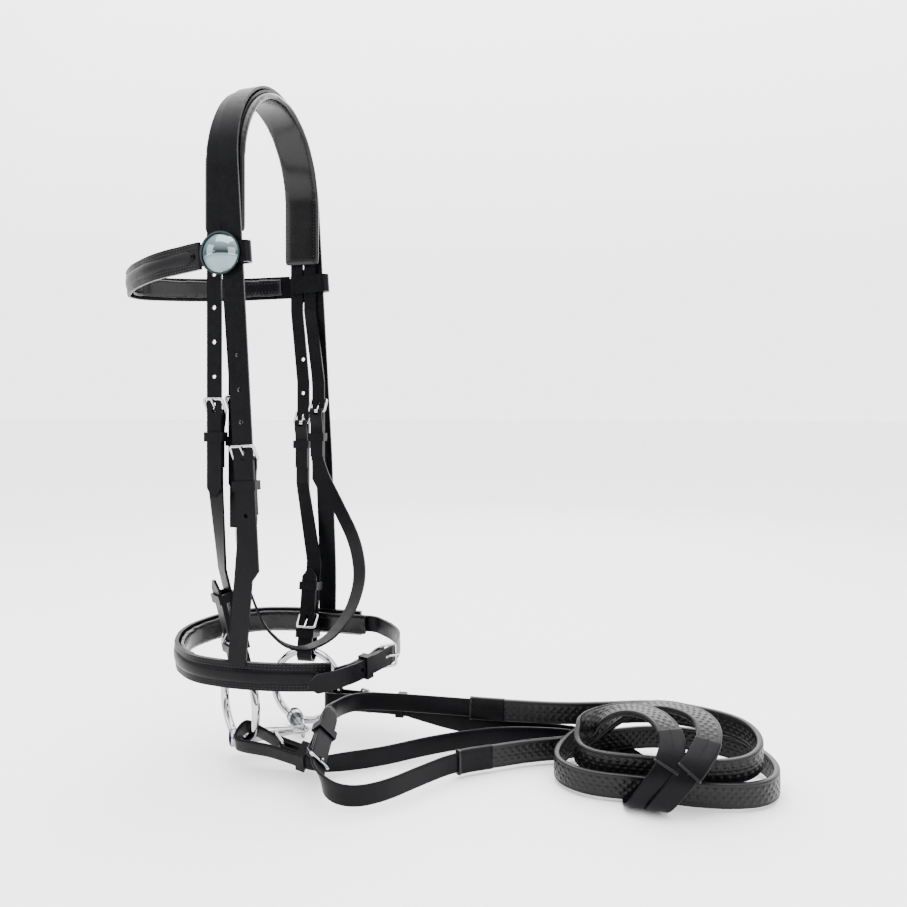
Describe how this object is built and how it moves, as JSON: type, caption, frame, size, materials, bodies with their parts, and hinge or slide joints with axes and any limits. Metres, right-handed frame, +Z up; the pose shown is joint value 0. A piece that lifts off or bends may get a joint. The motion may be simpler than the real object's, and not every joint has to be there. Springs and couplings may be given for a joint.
{
  "type": "bridle",
  "caption": "Black leather snaffle bridle with padded crown, browband and noseband, chrome domed browband ends, loose-ring jointed bit and knotted grip reins",
  "frame": {"origin": "the highest point of the crown padding's underside, where the bridle rests on the poll", "axes": "+Z up, -X towards the muzzle, -Y the horse's near (left) side"},
  "size_m": [0.5979, 0.2215, 0.6106],
  "materials": {
    "leather": "smooth black bridle leather, low gloss",
    "padded_leather": "soft black padded leather, glossy",
    "grip": "pimpled black rubber over leather",
    "chrome": "polished chrome plate",
    "steel": "polished stainless steel"
  },
  "bodies": {
    "bridle": {"bit_chapes": "leather", "bit_lower_keepers": "leather", "chin_buckle": "chrome", "chin_chape": "leather", "chin_strap": "leather", "headpiece": "leather", "headpiece_padding": "padded_leather", "near_bit_buckle": "chrome", "near_cheek_buckle": "chrome", "near_cheekpiece": "leather", "near_mouthpiece": "steel", "near_noseband_cheek": "leather", "near_rein_bit_end": "leather", "near_rein_buckle": "chrome", "near_rein_grip": "grip", "near_rein_hand_end": "leather", "noseband": "leather", "noseband_buckle": "chrome", "noseband_padding": "padded_leather", "noseband_sliphead": "leather", "off_bit_buckle": "chrome", "off_cheek_buckle": "chrome", "off_cheekpiece": "leather", "off_rein_bit_end": "leather", "off_rein_buckle": "chrome", "off_rein_grip": "grip", "off_rein_hand_end": "leather", "rein_bundle": "leather", "rein_centre_buckle": "chrome", "rein_chapes": "leather", "throat_buckles": "chrome", "throat_keepers": "leather", "throatlatch": "leather"},
    "near_cheek_prong": {"near_cheek_prong": "chrome"},
    "off_cheek_prong": {"off_cheek_prong": "chrome"},
    "near_throat_prong": {"near_throat_prong": "chrome"},
    "off_throat_prong": {"off_throat_prong": "chrome"},
    "noseband_prong": {"noseband_prong": "chrome"},
    "chin_prong": {"chin_prong": "chrome"},
    "near_bit_prong": {"near_bit_prong": "chrome"},
    "off_bit_prong": {"off_bit_prong": "chrome"},
    "near_rein_prong": {"near_rein_prong": "chrome"},
    "off_rein_prong": {"off_rein_prong": "chrome"},
    "rein_centre_prong": {"rein_centre_prong": "chrome"},
    "near_cheek_keeper": {"near_cheek_keeper": "leather"},
    "off_cheek_keeper": {"off_cheek_keeper": "leather"},
    "noseband_keeper": {"noseband_keeper": "leather"},
    "chin_keeper": {"chin_keeper": "leather"},
    "near_bit_keeper": {"near_bit_keeper": "leather"},
    "off_bit_keeper": {"off_bit_keeper": "leather"},
    "near_rein_keeper": {"near_rein_keeper": "leather"},
    "off_rein_keeper": {"off_rein_keeper": "leather"},
    "rein_centre_keeper": {"rein_centre_keeper": "leather"},
    "browband": {"browband": "leather", "browband_lining": "padded_leather", "browband_buttons": "chrome"},
    "near_bit_ring": {"near_bit_ring": "chrome"},
    "off_mouthpiece": {"off_mouthpiece": "steel"},
    "off_bit_ring": {"off_bit_ring": "chrome"}
  },
  "joints": [
    {"name": "near_cheek_prong_lift", "type": "hinge", "parent": "bridle", "child": "near_cheek_prong", "pos_m": [-0.004, -0.0814, -0.288], "axis": [1, 0, 0], "range_deg": [0, 20]},
    {"name": "off_cheek_prong_lift", "type": "hinge", "parent": "bridle", "child": "off_cheek_prong", "pos_m": [0.003, 0.0814, -0.298], "axis": [-1, 0, 0], "range_deg": [0, 20]},
    {"name": "near_throat_prong_lift", "type": "hinge", "parent": "bridle", "child": "near_throat_prong", "pos_m": [0.009, -0.0684, -0.286], "axis": [1, 0, 0], "range_deg": [0, 20]},
    {"name": "off_throat_prong_lift", "type": "hinge", "parent": "bridle", "child": "off_throat_prong", "pos_m": [0.025, 0.0684, -0.286], "axis": [-1, 0, 0], "range_deg": [0, 20]},
    {"name": "noseband_prong_lift", "type": "hinge", "parent": "bridle", "child": "noseband_prong", "pos_m": [0.02431, -0.0844, -0.32749], "axis": [0.9984, 0, 0.0558], "range_deg": [0, 20]},
    {"name": "chin_prong_lift", "type": "hinge", "parent": "bridle", "child": "chin_prong", "pos_m": [0.119, -0.01195, -0.50615], "axis": [0, 0.0958, -0.9954], "range_deg": [0, 20]},
    {"name": "near_bit_prong_lift", "type": "hinge", "parent": "bridle", "child": "near_bit_prong", "pos_m": [-0.00834, -0.04909, -0.47674], "axis": [-0.766, 0.6428, 0], "range_deg": [0, 20]},
    {"name": "off_bit_prong_lift", "type": "hinge", "parent": "bridle", "child": "off_bit_prong", "pos_m": [0.0225, 0.05477, -0.48843], "axis": [-1, 0, 0], "range_deg": [0, 20]},
    {"name": "near_rein_prong_lift", "type": "hinge", "parent": "bridle", "child": "near_rein_prong", "pos_m": [0.04597, -0.05809, -0.57798], "axis": [-0.1803, 0.5213, -0.8341], "range_deg": [0, 20]},
    {"name": "off_rein_prong_lift", "type": "hinge", "parent": "bridle", "child": "off_rein_prong", "pos_m": [0.08892, 0.0493, -0.5693], "axis": [0, 0, -1], "range_deg": [0, 20]},
    {"name": "rein_centre_prong_lift", "type": "hinge", "parent": "bridle", "child": "rein_centre_prong", "pos_m": [0.084, -0.078, -0.572], "axis": [-0.5832, -0.3642, 0.7261], "range_deg": [0, 20]},
    {"name": "near_cheek_keeper_slide", "type": "slide", "parent": "bridle", "child": "near_cheek_keeper", "axis": [0, 0, 1], "range_m": [-0.004, 0.002]},
    {"name": "off_cheek_keeper_slide", "type": "slide", "parent": "bridle", "child": "off_cheek_keeper", "axis": [0, 0, 1], "range_m": [-0.006, 0.003]},
    {"name": "noseband_keeper_slide", "type": "slide", "parent": "bridle", "child": "noseband_keeper", "axis": [-0.0558, 0, 0.9984], "range_m": [-0.006, 0.003]},
    {"name": "chin_keeper_slide", "type": "slide", "parent": "bridle", "child": "chin_keeper", "axis": [0.361, 0.9283, 0.0894], "range_m": [-0.006, 0.004]},
    {"name": "near_bit_keeper_slide", "type": "slide", "parent": "bridle", "child": "near_bit_keeper", "axis": [0.1555, 0.1853, -0.9703], "range_m": [-0.006, 0.005]},
    {"name": "off_bit_keeper_slide", "type": "slide", "parent": "bridle", "child": "off_bit_keeper", "axis": [0, -0.1564, -0.9877], "range_m": [-0.006, 0.005]},
    {"name": "near_rein_keeper_slide", "type": "slide", "parent": "bridle", "child": "near_rein_keeper", "axis": [-0.9745, 0.0203, 0.2233], "range_m": [-0.002, 0.001]},
    {"name": "off_rein_keeper_slide", "type": "slide", "parent": "bridle", "child": "off_rein_keeper", "axis": [-1, 0, 0], "range_m": [0, 0.006]},
    {"name": "rein_centre_keeper_slide", "type": "slide", "parent": "bridle", "child": "rein_centre_keeper", "axis": [0.1698, -0.9287, -0.3296], "range_m": [-0.008, 0.004]},
    {"name": "browband_slide", "type": "slide", "parent": "bridle", "child": "browband", "axis": [0, 0, 1], "range_m": [-0.004, 0.006]},
    {"name": "near_ring_turn", "type": "hinge", "parent": "bridle", "child": "near_bit_ring", "pos_m": [-0.0029, -0.0426, -0.5452], "axis": [0.6428, 0.766, 0], "continuous": true},
    {"name": "mouthpiece_fold", "type": "hinge", "parent": "bridle", "child": "off_mouthpiece", "pos_m": [0.04, -0.001, -0.5815], "axis": [0, 0, 1], "range_deg": [-3, 0]},
    {"name": "off_ring_turn", "type": "hinge", "parent": "off_mouthpiece", "child": "off_bit_ring", "pos_m": [0.0225, 0.0493, -0.5575], "axis": [0, 1, 0], "continuous": true}
  ]
}
